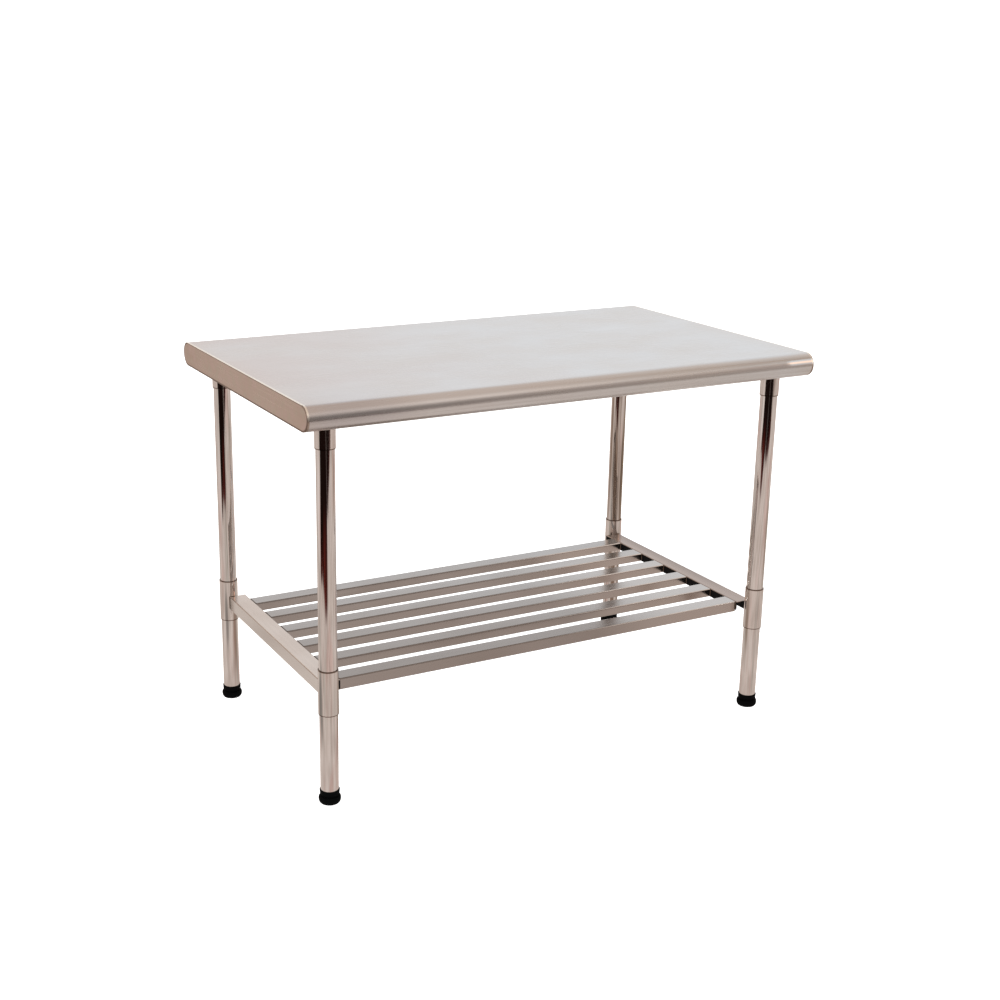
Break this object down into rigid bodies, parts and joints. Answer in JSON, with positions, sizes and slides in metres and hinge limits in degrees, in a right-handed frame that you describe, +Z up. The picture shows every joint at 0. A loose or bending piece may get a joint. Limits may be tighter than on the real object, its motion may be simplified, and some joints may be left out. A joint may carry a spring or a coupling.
{
  "type": "stainless work table",
  "caption": "Free-standing stainless worktop with rolled edges on tubular legs, a slatted shelf that slides on sleeves, and screw feet.",
  "frame": {"origin": "on the floor, midway between the four legs", "axes": "+X along the table to the right, +Y to its back, +Z up"},
  "size_m": [1.2, 0.72, 0.85],
  "materials": {
    "worktop_steel": "satin, brushed along the length",
    "leg_steel": "polished stainless tube",
    "collar_steel": "satin stainless tube",
    "shelf_steel": "satin stainless",
    "channel_steel": "mill finish",
    "screw_steel": "plain stainless",
    "fastener_steel": "zinc plated",
    "foot_plastic": "moulded black plastic"
  },
  "bodies": {
    "frame": {"top_sheet": "worktop_steel", "end_cap_left": "worktop_steel", "end_cap_right": "worktop_steel", "cross_channel_left": "channel_steel", "cross_channel_right": "channel_steel", "long_channel": "channel_steel", "leg_socket_front_left": "collar_steel", "leg_socket_front_right": "collar_steel", "leg_socket_back_left": "collar_steel", "leg_socket_back_right": "collar_steel", "leg_front_left": "leg_steel", "leg_front_right": "leg_steel", "leg_back_left": "leg_steel", "leg_back_right": "leg_steel", "socket_set_screws": "screw_steel", "foot_insert_front_left": "foot_plastic", "foot_nut_front_left": "fastener_steel", "foot_insert_front_right": "foot_plastic", "foot_nut_front_right": "fastener_steel", "foot_insert_back_left": "foot_plastic", "foot_nut_back_left": "fastener_steel", "foot_insert_back_right": "foot_plastic", "foot_nut_back_right": "fastener_steel"},
    "shelf": {"shelf_rail_left": "shelf_steel", "shelf_rail_right": "shelf_steel", "shelf_slat_1": "shelf_steel", "shelf_slat_2": "shelf_steel", "shelf_slat_3": "shelf_steel", "shelf_slat_4": "shelf_steel", "shelf_slat_5": "shelf_steel", "shelf_slat_6": "shelf_steel", "shelf_sleeve_front_left": "collar_steel", "shelf_sleeve_front_right": "collar_steel", "shelf_sleeve_back_left": "collar_steel", "shelf_sleeve_back_right": "collar_steel", "sleeve_set_screws": "screw_steel"},
    "stud_front_left": {"foot_stud_front_left": "fastener_steel"},
    "foot_front_left": {"foot_base_front_left": "foot_plastic"},
    "stud_front_right": {"foot_stud_front_right": "fastener_steel"},
    "foot_front_right": {"foot_base_front_right": "foot_plastic"},
    "stud_back_left": {"foot_stud_back_left": "fastener_steel"},
    "foot_back_left": {"foot_base_back_left": "foot_plastic"},
    "stud_back_right": {"foot_stud_back_right": "fastener_steel"},
    "foot_back_right": {"foot_base_back_right": "foot_plastic"}
  },
  "joints": [
    {"name": "shelf_height", "type": "slide", "parent": "frame", "child": "shelf", "axis": [0, 0, 1], "range_m": [-0.166, 0.455]},
    {"name": "foot_travel_front_left", "type": "slide", "parent": "frame", "child": "stud_front_left", "axis": [0, 0, -1], "range_m": [0, 0.02]},
    {"name": "foot_turn_front_left", "type": "hinge", "parent": "stud_front_left", "child": "foot_front_left", "pos_m": [-0.5365, -0.293, 0], "axis": [0, 0, -1], "range_deg": [0, 4800]},
    {"name": "foot_travel_front_right", "type": "slide", "parent": "frame", "child": "stud_front_right", "axis": [0, 0, -1], "range_m": [0, 0.02]},
    {"name": "foot_turn_front_right", "type": "hinge", "parent": "stud_front_right", "child": "foot_front_right", "pos_m": [0.5365, -0.293, 0], "axis": [0, 0, -1], "range_deg": [0, 4800]},
    {"name": "foot_travel_back_left", "type": "slide", "parent": "frame", "child": "stud_back_left", "axis": [0, 0, -1], "range_m": [0, 0.02]},
    {"name": "foot_turn_back_left", "type": "hinge", "parent": "stud_back_left", "child": "foot_back_left", "pos_m": [-0.5365, 0.293, 0], "axis": [0, 0, -1], "range_deg": [0, 4800]},
    {"name": "foot_travel_back_right", "type": "slide", "parent": "frame", "child": "stud_back_right", "axis": [0, 0, -1], "range_m": [0, 0.02]},
    {"name": "foot_turn_back_right", "type": "hinge", "parent": "stud_back_right", "child": "foot_back_right", "pos_m": [0.5365, 0.293, 0], "axis": [0, 0, -1], "range_deg": [0, 4800]}
  ],
  "couplings": [
    {"joint": "foot_turn_front_left", "follows": "foot_travel_front_left", "rad_per_m": 4188.8},
    {"joint": "foot_turn_front_right", "follows": "foot_travel_front_right", "rad_per_m": 4188.8},
    {"joint": "foot_turn_back_left", "follows": "foot_travel_back_left", "rad_per_m": 4188.8},
    {"joint": "foot_turn_back_right", "follows": "foot_travel_back_right", "rad_per_m": 4188.8}
  ]
}
